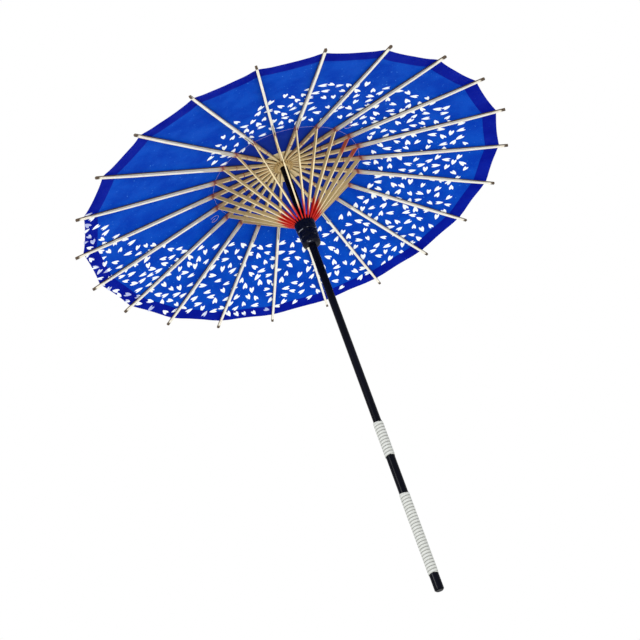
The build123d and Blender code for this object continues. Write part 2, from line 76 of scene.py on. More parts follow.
UPPER_GRIP = (0.2235, 0.286, 12)

# Every sheet is cut along the middle of each gap. A strip rides its rib.
RIBS = range(RIB_COUNT)

# An edge that turns by more than this looks sharp.
SHARP_ANGLE = math.radians(40)


def body_of_rib(index):
    """The name of a rib's body, which is also the name of its CAD node."""
    return f"rib_{index + 1:02d}"


def rib_direction(index):
    """The level direction in which a rib points."""
    return Vector((math.cos(index * PITCH), math.sin(index * PITCH), 0.0))


def rib_across(index):
    """The level direction across a rib."""
    return Vector((-math.sin(index * PITCH), math.cos(index * PITCH), 0.0))


# ---- materials ----------------------------------------------------------------------------------
def linear(red, green, blue):
    """A display colour, 0 to 255, as the linear colour that a shader takes."""
    parts = [value / 255 for value in (red, green, blue)]
    return tuple(p / 12.92 if p <= 0.04045 else ((p + 0.055) / 1.055) ** 2.4 for p in parts) + (1.0,)


class Recipe:
    """A node material, written as nested calls."""

    def __init__(self, name, roughness, specular=0.5):
        self.material = bpy.data.materials.new(name)
        self.material.use_nodes = True
        self.tree = self.material.node_tree
        self.shader = self.tree.nodes["Principled BSDF"]
        self.shader.inputs["Roughness"].default_value = roughness
        self.shader.inputs["Specular IOR Level"].default_value = specular

    def put(self, socket, value):
        """Links a node's output, or sets a plain value."""
        if isinstance(value, bpy.types.NodeSocket):
            self.tree.links.new(value, socket)
        else:
            socket.default_value = value

    def math(self, operation, first, second=0.0):
        node = self.tree.nodes.new("ShaderNodeMath")
        node.operation = operation
        self.put(node.inputs[0], first)
        self.put(node.inputs[1], second)
        return node.outputs[0]

    def plus(self, first, second):
        return self.math("ADD", first, second)

    def minus(self, first, second):
        return self.math("SUBTRACT", first, second)

    def times(self, first, second):
        return self.math("MULTIPLY", first, second)

    def apart(self, first, second):
        """How far two values differ."""
        return self.math("ABSOLUTE", self.minus(first, second))

    def ramp(self, value, start, end, low=0.0, high=1.0):
        """Smooth change from low to high as value goes from start to end."""
        node = self.tree.nodes.new("ShaderNodeMapRange")
        node.interpolation_type = "SMOOTHSTEP"
        self.put(node.inputs["Value"], value)
        node.inputs["From Min"].default_value = start
        node.inputs["From Max"].default_value = end
        node.inputs["To Min"].default_value = low
        node.inputs["To Max"].default_value = high
        return node.outputs["Result"]

    def mix(self, share, low, high):
        node = self.tree.nodes.new("ShaderNodeMix")
        node.data_type = "RGBA"
        self.put(node.inputs["Factor"], share)
        self.put(node.inputs["A"], low)
        self.put(node.inputs["B"], high)
        return node.outputs["Result"]

    def split(self, vector):
        node = self.tree.nodes.new("ShaderNodeSeparateXYZ")
        self.put(node.inputs[0], vector)
        return node.outputs[0], node.outputs[1], node.outputs[2]

    def reach(self, vector):
        """Distance from the shaft's axis."""
        x, y, _ = self.split(vector)
        return self.math("SQRT", self.plus(self.times(x, x), self.times(y, y)))

    def join(self, x, y, z=0.0):
        node = self.tree.nodes.new("ShaderNodeCombineXYZ")
        self.put(node.inputs[0], x)
        self.put(node.inputs[1], y)
        self.put(node.inputs[2], z)
        return node.outputs[0]

    def noise(self, vector, scale, detail=3.0, roughness=0.55):
        node = self.tree.nodes.new("ShaderNodeTexNoise")
        self.put(node.inputs["Vector"], vector)
        node.inputs["Scale"].default_value = scale
        node.inputs["Detail"].default_value = detail
        node.inputs["Roughness"].default_value = roughness
        return node.outputs["Fac"]

    def place(self, output):
        return self.tree.nodes.new("ShaderNodeTexCoord").outputs[output]

    def bump(self, height, distance, strength=1.0):
        node = self.tree.nodes.new("ShaderNodeBump")
        node.inputs["Strength"].default_value = strength
        node.inputs["Distance"].default_value = distance
        self.put(node.inputs["Height"], height)
        self.tree.links.new(node.outputs["Normal"], self.shader.inputs["Normal"])

    def finish(self, color, roughness=None):
        self.put(self.shader.inputs["Base Color"], color)
        if roughness is not None:
            self.put(self.shader.inputs["Roughness"], roughness)
        return self.material


def member_coordinates(recipe, slope):
    """For ribs or stretchers: level distance out from the shaft's axis, distance along the member's line,
    offset across it, height over it, the member's number, and how far the surface faces sideways. Slope is
    the line's angle above the horizontal."""
    x, y, z = recipe.split(recipe.place("Object"))
    radius = recipe.reach(recipe.place("Object"))
    azimuth = recipe.math("ARCTAN2", y, x)
    number = recipe.math("ROUND", recipe.math("DIVIDE", azimuth, PITCH))
    turn = recipe.minus(azimuth, recipe.times(number, PITCH))
    number = recipe.math("FLOORED_MODULO", number, RIB_COUNT)
    out = recipe.times(radius, recipe.math("COSINE", turn))
    across = recipe.times(radius, recipe.math("SINE", turn))
    along = recipe.plus(recipe.times(out, math.cos(slope)), recipe.times(z, math.sin(slope)))
    above = recipe.minus(recipe.times(z, math.cos(slope)), recipe.times(out, math.sin(slope)))
    normal_x, normal_y, _ = recipe.split(recipe.place("Normal"))
    first_part = recipe.times(normal_y, recipe.math("DIVIDE", x, radius))
    second_part = recipe.times(normal_x, recipe.math("DIVIDE", y, radius))
    sideways = recipe.apart(first_part, second_part)
    return out, along, across, above, number, sideways


# The shifts are added for each member's number, so that no two members show the same grain.
FIBRE_SHIFT = 3.7
PATCH_SHIFT = 1.3
FIBRE_STRETCH = 0.03
FIBRE_SCALE = 2600.0
PATCH_SCALE = 22.0
FIBRE_BUMP = 0.0001


def bamboo_grain(recipe, along, across, above, number):
    """Long fibres, and slower patches of tone that differ from member to member."""
    shifted = recipe.plus(along, recipe.times(number, FIBRE_SHIFT))
    fibres = recipe.noise(recipe.join(recipe.times(shifted, FIBRE_STRETCH), across, above), FIBRE_SCALE)
    patches = recipe.noise(recipe.join(shifted, recipe.times(number, PATCH_SHIFT)), PATCH_SCALE)
    return fibres, patches


def split_bamboo(recipe, color, fibres):
    """Finishes bamboo with raised fibres, duller where they are rough."""
    recipe.bump(fibres, FIBRE_BUMP)
    return recipe.finish(color, recipe.ramp(fibres, 0.3, 0.7, 0.42, 0.6))


# How far a face must turn sideways before it counts as a member's flank.
FLANK_RANGE = (0.6, 0.8)

# Where a rib's tan inner part ends, the painted shadow along the top of its flanks under the paper, the
# stains round its joint, and the darker tip.
RIB_TAN_RANGE = (JOINT_RADIUS - 0.012, JOINT_RADIUS + 0.02)
PAINTED_SHADOW_LINE_RANGE = (-0.0003, 0.0007)
JOINT_STAIN_RADIUS = JOINT_RADIUS + 0.002
JOINT_STAIN_WIDE = (0.004, 0.014)
JOINT_STAIN_NARROW = (0.003, 0.006)
TIP_DARKENING_RANGE = (TIP_RADIUS - 0.0065, TIP_RADIUS - 0.0025)
MARK_RAGGEDNESS = 0.004


def rib_bamboo():
    """Pale bleached bamboo, tanner and ruddier inside the joints, with a painted shadow line under the
    paper.
    """
    recipe = Recipe("bamboo_rib", 0.5, 0.2)
    out, along, across, above, number, sideways = member_coordinates(recipe, -DROOP)
    fibres, patches = bamboo_grain(recipe, along, across, above, number)
    ragged = recipe.times(fibres, MARK_RAGGEDNESS)
    inner = recipe.ramp(out, *RIB_TAN_RANGE, 1.0, 0.0)
    pale = recipe.mix(recipe.ramp(fibres, 0.35, 0.7), linear(240, 238, 228), linear(218, 212, 194))
    tan = recipe.mix(recipe.ramp(fibres, 0.35, 0.7), linear(226, 208, 162), linear(206, 184, 134))
    face = recipe.mix(inner, pale, tan)
    face = recipe.mix(recipe.ramp(patches, 0.5, 0.75, 0.0, 0.3), face, linear(216, 176, 152))
    pale_flank = recipe.mix(recipe.ramp(fibres, 0.3, 0.7), linear(222, 216, 200), linear(196, 188, 166))
    tan_flank = recipe.mix(recipe.ramp(patches, 0.35, 0.6), linear(196, 158, 116), linear(206, 182, 132))
    flank = recipe.mix(inner, pale_flank, tan_flank)
    # Painted shadow: the top of each flank, next to the paper, darkens to a dark brown line.
    rise = recipe.minus(above, RIB_LINE_HEIGHT)
    flank = recipe.mix(recipe.ramp(rise, *PAINTED_SHADOW_LINE_RANGE), flank, linear(74, 62, 50))
    color = recipe.mix(recipe.ramp(sideways, *FLANK_RANGE), face, flank)
    from_joint = recipe.plus(recipe.apart(out, JOINT_STAIN_RADIUS), ragged)
    color = recipe.mix(recipe.ramp(from_joint, *JOINT_STAIN_WIDE, 0.5, 0.0), color, linear(190, 112, 88))
    color = recipe.mix(recipe.ramp(from_joint, *JOINT_STAIN_NARROW, 0.75, 0.0), color, linear(132, 40, 34))
    # Darker over the last few millimetres of the tip.
    ragged_out = recipe.plus(out, ragged)
    color = recipe.mix(recipe.ramp(ragged_out, *TIP_DARKENING_RANGE), color, linear(74, 60, 44))
    return split_bamboo(recipe, color, fibres)


# Where the dye on the stretchers fades, all round and on their sides, and how unevenly it has spread.
DYE_RANGE = (0.026, 0.040)
SIDE_DYE_RANGE = (0.033, 0.043)
DYE_FIBRE_SPREAD = 0.016
DYE_PATCH_SPREAD = 0.03
# Dye has also run along two neighbouring stretchers near their joints: the number half way between them,
# and how near to it a number must be.
STAINED_PAIR = 3.5
STAINED_REACH = (0.6, 0.9)
STREAK_RANGE = (0.116, 0.126)
STREAK_SPREAD = 0.03


def stretcher_bamboo():
    """Bamboo dyed red where it enters the runner. The dye runs further along its sides."""
    recipe = Recipe("bamboo_stretcher", 0.5, 0.2)
    out, along, across, above, number, sideways = member_coordinates(recipe, STRETCHER_RISE)
    fibres, patches = bamboo_grain(recipe, along, across, above, number)
    face = recipe.mix(recipe.ramp(fibres, 0.35, 0.7), linear(238, 224, 184), linear(216, 194, 146))
    flank = recipe.mix(recipe.ramp(fibres, 0.3, 0.7), linear(206, 184, 132), linear(178, 152, 100))
    flank = recipe.mix(recipe.ramp(patches, 0.55, 0.75, 0.0, 0.4), flank, linear(190, 120, 88))
    side = recipe.ramp(sideways, *FLANK_RANGE)
    color = recipe.mix(side, face, flank)
    spread = recipe.plus(recipe.times(recipe.minus(fibres, 0.5), DYE_FIBRE_SPREAD), out)
    spread = recipe.plus(spread, recipe.times(recipe.minus(patches, 0.5), DYE_PATCH_SPREAD))
    red_side = recipe.times(side, recipe.ramp(spread, *SIDE_DYE_RANGE, 1.0, 0.0))
    red_all = recipe.ramp(spread, *DYE_RANGE, 1.0, 0.0)
    red = recipe.mix(recipe.ramp(fibres, 0.3, 0.7), linear(214, 34, 10), linear(166, 10, 4))
    color = recipe.mix(recipe.math("MAXIMUM", red_side, red_all), color, red)
    stained = recipe.ramp(recipe.apart(number, STAINED_PAIR), *STAINED_REACH, 1.0, 0.0)
    streak = recipe.plus(recipe.times(patches, STREAK_SPREAD), out)
    streak = recipe.times(recipe.ramp(streak, *STREAK_RANGE), stained)
    color = recipe.mix(recipe.times(streak, 0.8), color, linear(172, 30, 20))
    return split_bamboo(recipe, color, fibres)


def black_lacquer():
    """Brushed-on lacquer: near black, with faint marks along the shaft."""
    recipe = Recipe("black_lacquer", 0.2, 0.05)
    x, y, z = recipe.split(recipe.place("Object"))
    strokes = recipe.noise(recipe.join(x, y, recipe.times(z, 0.04)), 160.0)
    wear = recipe.noise(recipe.place("Object"), 30.0)
    color = recipe.mix(recipe.ramp(strokes, 0.4, 0.75), linear(3, 4, 12), linear(8, 9, 20))
    return recipe.finish(color, recipe.ramp(wear, 0.35, 0.7, 0.16, 0.26))


# How near a turned edge the painted highlight reaches.
PAINTED_HIGHLIGHT_RANGE = (0.0002, 0.0007)


def runner_lacquer():
    """The same lacquer, with grey painted highlights in broken dashes along the runner's turned edges."""
    recipe = Recipe("runner_lacquer", 0.2, 0.1)
    z = recipe.split(recipe.place("Object"))[2]
    patches = recipe.noise(recipe.place("Object"), 110.0, 1.0)
    painted_highlight = 0.0
    for edge in RUNNER_EDGE_HEIGHTS:
        near_edge = recipe.ramp(recipe.apart(z, edge), *PAINTED_HIGHLIGHT_RANGE, 1.0, 0.0)
        painted_highlight = recipe.math("MAXIMUM", painted_highlight, near_edge)
    # Painted highlight: broken grey dashes along each turned edge.
    painted_highlight = recipe.times(painted_highlight, recipe.ramp(patches, 0.5, 0.62, 0.0, 0.9))
    return recipe.finish(recipe.mix(painted_highlight, linear(5, 7, 20), linear(128, 132, 142)))


def turned_wood():
    """Pale wood with the rings and grain of a turned block."""
    recipe = Recipe("turned_wood", 0.55, 0.2)
    x, y, z = recipe.split(recipe.place("Object"))
    radius = recipe.reach(recipe.place("Object"))
    rings = recipe.noise(recipe.join(radius, recipe.times(z, 0.5)), 1400.0)
    grain = recipe.noise(recipe.join(recipe.times(x, 0.15), y, z), 900.0)
    color = recipe.mix(recipe.ramp(rings, 0.35, 0.7), linear(214, 188, 132), linear(178, 146, 92))
    color = recipe.mix(recipe.ramp(grain, 0.5, 0.8, 0.0, 0.5), color, linear(150, 116, 70))
    recipe.bump(rings, 0.0002)
    return recipe.finish(color)


# Inside the joints the blue paper's underside is painted darker, as painted shade.
INNER_SHADE_RANGE = (JOINT_RADIUS - 0.012, JOINT_RADIUS)
UNDERSIDE_RANGE = (-0.3, 0.0)


def dyed_paper(name, thin, thick, fleck, inner=None):
    """Oiled washi: cloudy dye, and long fibres that take less of it. Inner is the painted shade colour of
    its underside inside the joints. The sheet's own flat plan is its UV map."""
    recipe = Recipe(name, 0.6, 0.02)
    plan = recipe.place("UV")
    clouds = recipe.noise(plan, 24.0, 4.0)
    fibres = recipe.noise(plan, 520.0, 6.0, 0.7)
    specks = recipe.noise(plan, 210.0, 2.0)
    color = recipe.mix(recipe.ramp(clouds, 0.3, 0.7), thin, thick)
    color = recipe.mix(recipe.ramp(fibres, 0.55, 0.75, 0.0, 0.35), color, fleck)
    color = recipe.mix(recipe.ramp(specks, 0.67, 0.74, 0.0, 0.7), color, fleck)
    if inner is not None:
        # Painted shade: inside the joints the underside turns to the darker inner colour.
        underside = recipe.ramp(recipe.split(recipe.place("Normal"))[2], *UNDERSIDE_RANGE, 0.75, 0.0)
        shade = recipe.ramp(recipe.reach(plan), *INNER_SHADE_RANGE, 1.0, 0.0)
        color = recipe.mix(recipe.times(shade, underside), color, inner)
    recipe.bump(fibres, 0.0003, 0.6)
    return recipe.finish(color, recipe.ramp(clouds, 0.3, 0.7, 0.5, 0.7))


# A petal with its centre outside this radius is printed on the hem.
HEM_PETAL_RADIUS = HEM_RADIUS - 0.004


def petal_print():
    """White print, slightly worn. On the hem some petals show faintly, as if through a layer of paper."""
    recipe = Recipe("petal_print", 0.65, 0.05)
    plan = recipe.place("UV")
    ink = recipe.noise(plan, 700.0, 5.0, 0.65)
    color = recipe.mix(recipe.ramp(ink, 0.5, 0.85), linear(244, 250, 255), linear(176, 208, 248))
    veiled = recipe.ramp(recipe.noise(plan, 32.0, 1.0), 0.44, 0.56)
    on_hem = recipe.ramp(recipe.reach(plan), HEM_PETAL_RADIUS, HEM_RADIUS, 0.0, 0.6)
    veiled = recipe.times(veiled, on_hem)
    color = recipe.mix(veiled, color, linear(84, 98, 190))
    recipe.bump(ink, 0.0001, 0.5)
    return recipe.finish(color)


TWISTS_PER_METRE = 900.0


def thread(name, light, dark):
    """Twisted cotton. The UV map runs along the thread, in metres, and once round it."""
    recipe = Recipe(name, 0.8, 0.08)
    length, turn, _ = recipe.split(recipe.place("UV"))
    twist = recipe.times(length, TWISTS_PER_METRE)
    lay = recipe.math("FRACT", recipe.times(recipe.plus(twist, turn), 2.0))
    strand = recipe.apart(lay, 0.5)
    fuzz = recipe.noise(recipe.join(twist, turn), 3.0)
    color = recipe.mix(recipe.ramp(strand, 0.0, 0.5), dark, light)
    color = recipe.mix(recipe.ramp(fuzz, 0.4, 0.8, 0.0, 0.5), color, light)
    recipe.bump(strand, 0.0002)
    return recipe.finish(color)


def cane():
    """Split cane under white lacquer. The UV map runs along the strip, in metres, and across it."""
    recipe = Recipe("rattan", 0.5, 0.15)
    length, across, _ = recipe.split(recipe.place("UV"))
    fibres = recipe.noise(recipe.join(recipe.times(length, 14.0), recipe.times(across, 5.0)), 4.0)
    stains = recipe.noise(recipe.join(recipe.times(length, 16.0), across), 2.0)
    color = recipe.mix(recipe.ramp(fibres, 0.35, 0.7), linear(190, 192, 188), linear(172, 174, 169))
    color = recipe.mix(recipe.ramp(stains, 0.55, 0.8, 0.0, 0.5), color, linear(150, 148, 136))
    # Painted shade: the strip darkens towards its edges, where it turns down into the gaps between turns.
    from_middle = recipe.apart(across, 0.5)
    color = recipe.mix(recipe.ramp(from_middle, 0.22, 0.47, 0.0, 0.8), color, linear(132, 133, 129))
    recipe.bump(fibres, 0.00015)
    return recipe.finish(color)


def steel():
    """Drawn wire with fine scratches."""
    recipe = Recipe("steel_pin", 0.35, 0.5)
    recipe.shader.inputs["Metallic"].default_value = 1.0
    scratches = recipe.noise(recipe.place("Object"), 1500.0)
    color = recipe.mix(scratches, linear(170, 170, 172), linear(120, 120, 124))
    return recipe.finish(color)


def pale_bamboo():
    """The bleached bamboo of the catch and the peg, with its fibres upright."""
    recipe = Recipe("bamboo_catch", 0.45, 0.35)
    x, y, z = recipe.split(recipe.place("Object"))
    fibres = recipe.noise(recipe.join(x, y, recipe.times(z, 0.05)), 2200.0)
    color = recipe.mix(recipe.ramp(fibres, 0.35, 0.7), linear(246, 242, 226), linear(222, 214, 190))
    recipe.bump(fibres, 0.0001)
    return recipe.finish(color)


def floor_finish():
    """A plain studio floor, almost white."""
    recipe = Recipe("floor", 0.9, 0.1)
    tone = recipe.noise(recipe.place("Object"), 3.0)
    return recipe.finish(recipe.mix(tone, linear(236, 236, 234), linear(242, 242, 240)))


BAMBOO_RIB = rib_bamboo()
BAMBOO_STRETCHER = stretcher_bamboo()
BAMBOO_CATCH = pale_bamboo()
BLACK_LACQUER = black_lacquer()
RUNNER_LACQUER = runner_lacquer()
TURNED_WOOD = turned_wood()
STEEL = steel()
CANE = cane()
# The blue paper's inner colour is painted shade on its underside inside the joints.
BLUE_PAPER = dyed_paper(
    "blue_paper", linear(0, 70, 182), linear(0, 54, 168), linear(70, 138, 216), inner=linear(20, 42, 150)
)
DARK_PAPER = dyed_paper("dark_blue_paper", linear(0, 24, 146), linear(0, 14, 132), linear(14, 50, 170))
CREAM_PAPER = dyed_paper("cream_paper", linear(252, 238, 196), linear(238, 218, 168), linear(255, 246, 214))
HOOD_PAPER = dyed_paper("hood_paper", linear(4, 50, 160), linear(0, 36, 132), linear(30, 84, 190))
PETAL_PRINT = petal_print()
RED_THREAD = thread("red_thread", linear(190, 30, 18), linear(120, 10, 8))
PINK_THREAD = thread("pink_thread", linear(196, 176, 206), linear(140, 110, 160))
HOOD_CORD = thread("hood_cord", linear(232, 228, 214), linear(170, 164, 146))

CAD_FINISHES = {
    "shaft": (BLACK_LACQUER, "black_lacquer"),
    "runner": (RUNNER_LACQUER, "black_lacquer"),
    "head_hub": (TURNED_WOOD, "turned_wood"),
    "hub_peg": (BAMBOO_CATCH, "bamboo"),
    "spring_catch": (BAMBOO_CATCH, "bamboo"),
    "catch_pin": (STEEL, "steel_pin"),
}
for index in RIBS:
    CAD_FINISHES[body_of_rib(index)] = (BAMBOO_RIB, "bamboo")
    CAD_FINISHES[f"stretcher_{index + 1:02d}"] = (BAMBOO_STRETCHER, "bamboo")

EDGE_ROUNDING = 0.00025
ROUNDING_SEGMENTS = 2
for node_name, (material, slot_name) in CAD_FINISHES.items():
    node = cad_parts[node_name]
    node.data.materials.clear()
    node.data.materials.append(material)
    rounding = node.modifiers.new("rounding", "BEVEL")
    rounding.width = EDGE_ROUNDING
    rounding.segments = ROUNDING_SEGMENTS
    rounding.limit_method = "ANGLE"
    rounding.angle_limit = SHARP_ANGLE


# ---- meshes -------------------------------------------------------------------------------------
def mesh_object(name, points, faces, material, slot_name, flat_map):
    """A mesh with one UV for each point, smooth except at its sharp edges."""
    mesh = bpy.data.meshes.new(name)
    mesh.from_pydata(points, [], faces)
    layer = mesh.uv_layers.new(name="UVMap")
    for loop in mesh.loops:
        layer.data[loop.index].uv = flat_map[loop.vertex_index]
    mesh.polygons.foreach_set("use_smooth", [True] * len(mesh.polygons))
    mesh.set_sharp_from_angle(angle=SHARP_ANGLE)
    mesh.materials.append(material)
    made = bpy.data.objects.new(name, mesh)
    bpy.context.collection.objects.link(made)
    return made if slot_name else made


def ride_and_fold(piece, index):
    """The piece goes with its rib, with a mesh of its own."""
    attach(piece, body_of_rib(index))
    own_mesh(piece)
    return piece


# ---- the paper's surface ------------------------------------------------------------------------
PAPER_THICKNESS = 0.0002
# The rim curves inward between the rib tips, and only near the rim.
RIM_DIP = 0.0022
RIM_DIP_POWER = 8
SAG_DEPTH = 0.0012
WRINKLE_DEPTH = 0.0005
WRINKLE_SCALE = 38.0
# The paper is held level up to the first distance from a rib's line, and free from the second.
HELD_RANGE = (0.0025, 0.02)


def smooth_share(value, start, end):
    """0 at the start and 1 at the end, with a smooth change between them."""
    share = min(1.0, max(0.0, (value - start) / (end - start)))
    return share * share * (3 - 2 * share)


def radius_of(x, y):
    """How far out a point is, measured along its nearest rib: the paper's straight edges have one radius."""
    turn = math.atan2(y, x) % PITCH - HALF_PITCH
    return math.hypot(x, y) * math.cos(turn) / math.cos(HALF_PITCH)


def on_paper(x, y, lift):
    """The point of the paper above x, y, lift over the ribs' upper faces. The paper is folded along each
    rib, flat from rib to rib but for a little sag and cockling, and level across a rib's own width."""
    turn = math.atan2(y, x) % PITCH - HALF_PITCH
    radius = radius_of(x, y)
    from_rib = radius * math.sin(HALF_PITCH) - abs(math.hypot(x, y) * math.sin(turn))
    height = HUB_PIVOT_HEIGHT + (RIB_TOP + lift) / math.cos(DROOP)
    height -= (radius - HUB_PIVOT_RADIUS) * math.tan(DROOP)
    free = smooth_share(from_rib, *HELD_RANGE)
    sag = SAG_DEPTH * (radius / PAPER_EDGE_RADIUS) ** 2
    cockle = noise.noise(Vector((x * WRINKLE_SCALE, y * WRINKLE_SCALE, 0.0))) * WRINKLE_DEPTH
    return Vector((x, y, height + free * (cockle - sag)))


def strip_point(index, radius, share, lift):
    """A point of the strip over one rib: share is 0 over the rib, and -1 or 1 at the middle of a gap."""
    own = index * PITCH
    other = own + math.copysign(PITCH, share)
    part = abs(share) / 2
    x = radius * (math.cos(own) * (1 - part) + math.cos(other) * part)
    y = radius * (math.sin(own) * (1 - part) + math.sin(other) * part)
    dip = RIM_DIP * (radius / PAPER_EDGE_RADIUS) ** RIM_DIP_POWER * abs(share) * (2 - abs(share))
    scale = 1 - dip / radius
    return on_paper(x * scale, y * scale, lift)


def offset_line(line, distance):
    """The line of (radius, lift) points moved sideways."""
    moved = []
    for at, point in enumerate(line):
        before = line[max(at - 1, 0)]
        after = line[min(at + 1, len(line) - 1)]
        run = Vector((after[0] - before[0], after[1] - before[1])).normalized()
        moved.append((point[0] - run[1] * distance, point[1] + run[0] * distance))
    return moved


def paper_strip(name, index, line, columns, material, slot_name):
    """One closed thin strip of a sheet that follows a line of (radius, lift) points along its rib."""
    low = offset_line(line, -PAPER_THICKNESS / 2)
    high = offset_line(line, PAPER_THICKNESS / 2)
    loop = low + high[::-1]
    count = len(loop)
    shares = [2 * column / columns - 1 for column in range(columns + 1)]
    points = [strip_point(index, radius, share, lift) for share in shares for radius, lift in loop]
    faces = []
    for column in range(columns):
        for at in range(count):
            near = column * count + at
            next_at = column * count + (at + 1) % count
            faces.append((near, next_at, next_at + count, near + count))
    last = columns * count
    for at in range(len(line) - 1):
        mate = count - 1 - at
        faces.append((at, mate, mate - 1, at + 1))
        faces.append((last + at, last + at + 1, last + mate - 1, last + mate))
    flat_map = [(point.x, point.y) for point in points]
    piece = mesh_object(name, points, faces, material, slot_name, flat_map)
    return ride_and_fold(piece, index)


def spaced(start, end, count):
    """The ends of count equal steps."""
    return [start + (end - start) * step / count for step in range(count + 1)]


# ---- petals -------------------------------------------------------------------------------------
# Half outline of a fallen cherry petal: pointed at one end, and notched at the other.
PETAL_HALF = (
    (-0.0070, 0.0),
    (-0.0043, 0.0018),
    (-0.0010, 0.0033),
    (0.0023, 0.0040),
    (0.0049, 0.0038),
    (0.0070, 0.0027),
)
PETAL_NOTCH = (0.0036, 0.0)
PETAL_OUTLINE = (
    list(PETAL_HALF)
    + [PETAL_NOTCH]
    + [(along, -across) for along, across in PETAL_HALF[:0:-1]]
)
PETAL_RINGS = (0.45, 1.0)
PETAL_SIZES = (0.88, 1.12)
PETAL_SPACING = 0.0147
PETAL_REACH_LIMIT = PAPER_EDGE_RADIUS - 0.0006
PETAL_TRIES = 9000
PETAL_SEED = 22
# Petals are looked for between these shares of the tip circle's area.
PETAL_AREA_RANGE = (0.08, 0.95)
# Lower and upper lift of a petal's layers. One layer goes through the canopy, and shows on both its
# faces. On the hem there is one under it and one over it.
PETAL_LAYERS = ((0.00018, 0.00056),)
HEM_PETAL_LAYERS = ((0.00004, 0.00014), (0.00074, 0.00084))

# The printed drift of petals winds outward round the canopy: azimuth in degrees, then its inner and
# outer edge as shares of the tip radius.
DRIFT = (
    (0, 0.38, 0.70),
    (30, 0.40, 0.71),
    (60, 0.41, 0.79),
    (90, 0.37, 0.84),
    (120, 0.45, 0.88),
    (165, 0.48, 0.92),
    (210, 0.48, 0.92),
    (240, 0.61, 0.97),
    (270, 0.85, 0.97),
    (285, 0.97, 0.97),
    (296, 0.34, 0.34),
    (300, 0.34, 0.47),
    (330, 0.31, 0.59),
    (360, 0.38, 0.70),
)


def drift_edges(degrees):
    """The inner and outer radius of the drift at an azimuth."""
    for before, after in zip(DRIFT, DRIFT[1:]):
        if before[0] <= degrees <= after[0]:
            part = (degrees - before[0]) / (after[0] - before[0])
            shares = [low + (high - low) * part for low, high in zip(before[1:], after[1:])]
            return tuple(TIP_RADIUS * share for share in shares)


def scatter_petals():
    """Petals as (x, y, heading, size), none nearer to another than the spacing."""
    chance = random.Random(PETAL_SEED)
    petals = []
    for _ in range(PETAL_TRIES):
        degrees = chance.uniform(0, 360)
        reach = TIP_RADIUS * math.sqrt(chance.uniform(*PETAL_AREA_RANGE))
        inner, outer = drift_edges(degrees)
        x = reach * math.cos(math.radians(degrees))
        y = reach * math.sin(math.radians(degrees))
        heading = chance.uniform(0, 2 * math.pi)
        size = chance.uniform(*PETAL_SIZES)
        if not inner <= reach <= outer or radius_of(x, y) > PETAL_REACH_LIMIT:
            continue
        if all(math.hypot(x - other[0], y - other[1]) > PETAL_SPACING for other in petals):
            petals.append((x, y, heading, size))
    return petals


def add_petal(points, faces, petal, layer):
    """Adds a thin closed petal that follows the paper, and is cut off at the paper's edge."""
    x, y, heading, size = petal
    start = len(points)
    sides = len(PETAL_OUTLINE)
    for lift in layer:
        points.append(on_paper(x, y, lift))
        for ring in PETAL_RINGS:
            for along, across in PETAL_OUTLINE:
                px = x + size * ring * (along * math.cos(heading) - across * math.sin(heading))
                py = y + size * ring * (along * math.sin(heading) + across * math.cos(heading))
                inward = min(1.0, PETAL_REACH_LIMIT / radius_of(px, py))
                points.append(on_paper(px * inward, py * inward, lift))
    layer_size = 1 + sides * len(PETAL_RINGS)
    for at in range(sides):
        nxt = (at + 1) % sides
        for base, flip in ((start, True), (start + layer_size, False)):
            inner = (base, base + 1 + at, base + 1 + nxt)
            outer = (base + 1 + at, base + 1 + sides + at, base + 1 + sides + nxt, base + 1 + nxt)
            faces.append(inner[::-1] if flip else inner)
            faces.append(outer[::-1] if flip else outer)
        low = start + 1 + sides
        high = low + layer_size
        faces.append((low + at, low + nxt, high + nxt, high + at))


# ---- the sheets ---------------------------------------------------------------------------------
# Lifts of the layers over the ribs' upper faces. The hem is one sheet turned round the canopy's edge.
LINING_LIFT = 0.00022
CANOPY_LIFT = 0.00045
HEM_TOP_LIFT = 0.00068
CANOPY_RIM_RADIUS = PAPER_EDGE_RADIUS - 0.0008
HEM_TURN_RADIUS = PAPER_EDGE_RADIUS - 0.0003
CANOPY_STEPS = 30
DISC_STEPS = 6
HEM_STEPS = 5
CANOPY_COLUMNS = 14
DISC_COLUMNS = 4

CANOPY_RADII = spaced(PAPER_INNER_RADIUS, CANOPY_RIM_RADIUS, CANOPY_STEPS)
DISC_RADII = spaced(PAPER_INNER_RADIUS, CROWN_DISC_RADIUS, DISC_STEPS)
CANOPY_LINE = [(radius, CANOPY_LIFT) for radius in CANOPY_RADII]
DISC_LINE = [(radius, LINING_LIFT) for radius in DISC_RADII]
HEM_LINE = (
    [(radius, LINING_LIFT) for radius in spaced(HEM_RADIUS, HEM_TURN_RADIUS, HEM_STEPS)]
    + [(PAPER_EDGE_RADIUS, CANOPY_LIFT)]
    + [(radius, HEM_TOP_LIFT) for radius in spaced(HEM_TURN_RADIUS, HEM_RADIUS, HEM_STEPS)]
)

petals_of_rib = {index: [] for index in RIBS}
for petal in scatter_petals():
    nearest = round(math.atan2(petal[1], petal[0]) / PITCH) % RIB_COUNT
    petals_of_rib[nearest].append(petal)


def canopy_and_hem(index):
    """The canopy's strip over one rib, and the hem round its edge."""
    number = f"{index + 1:02d}"
    canopy = paper_strip(f"canopy_{number}", index, CANOPY_LINE, CANOPY_COLUMNS, BLUE_PAPER, "blue_paper")
    hem = paper_strip(f"hem_{number}", index, HEM_LINE, CANOPY_COLUMNS, DARK_PAPER, "dark_blue_paper")
    return canopy, hem


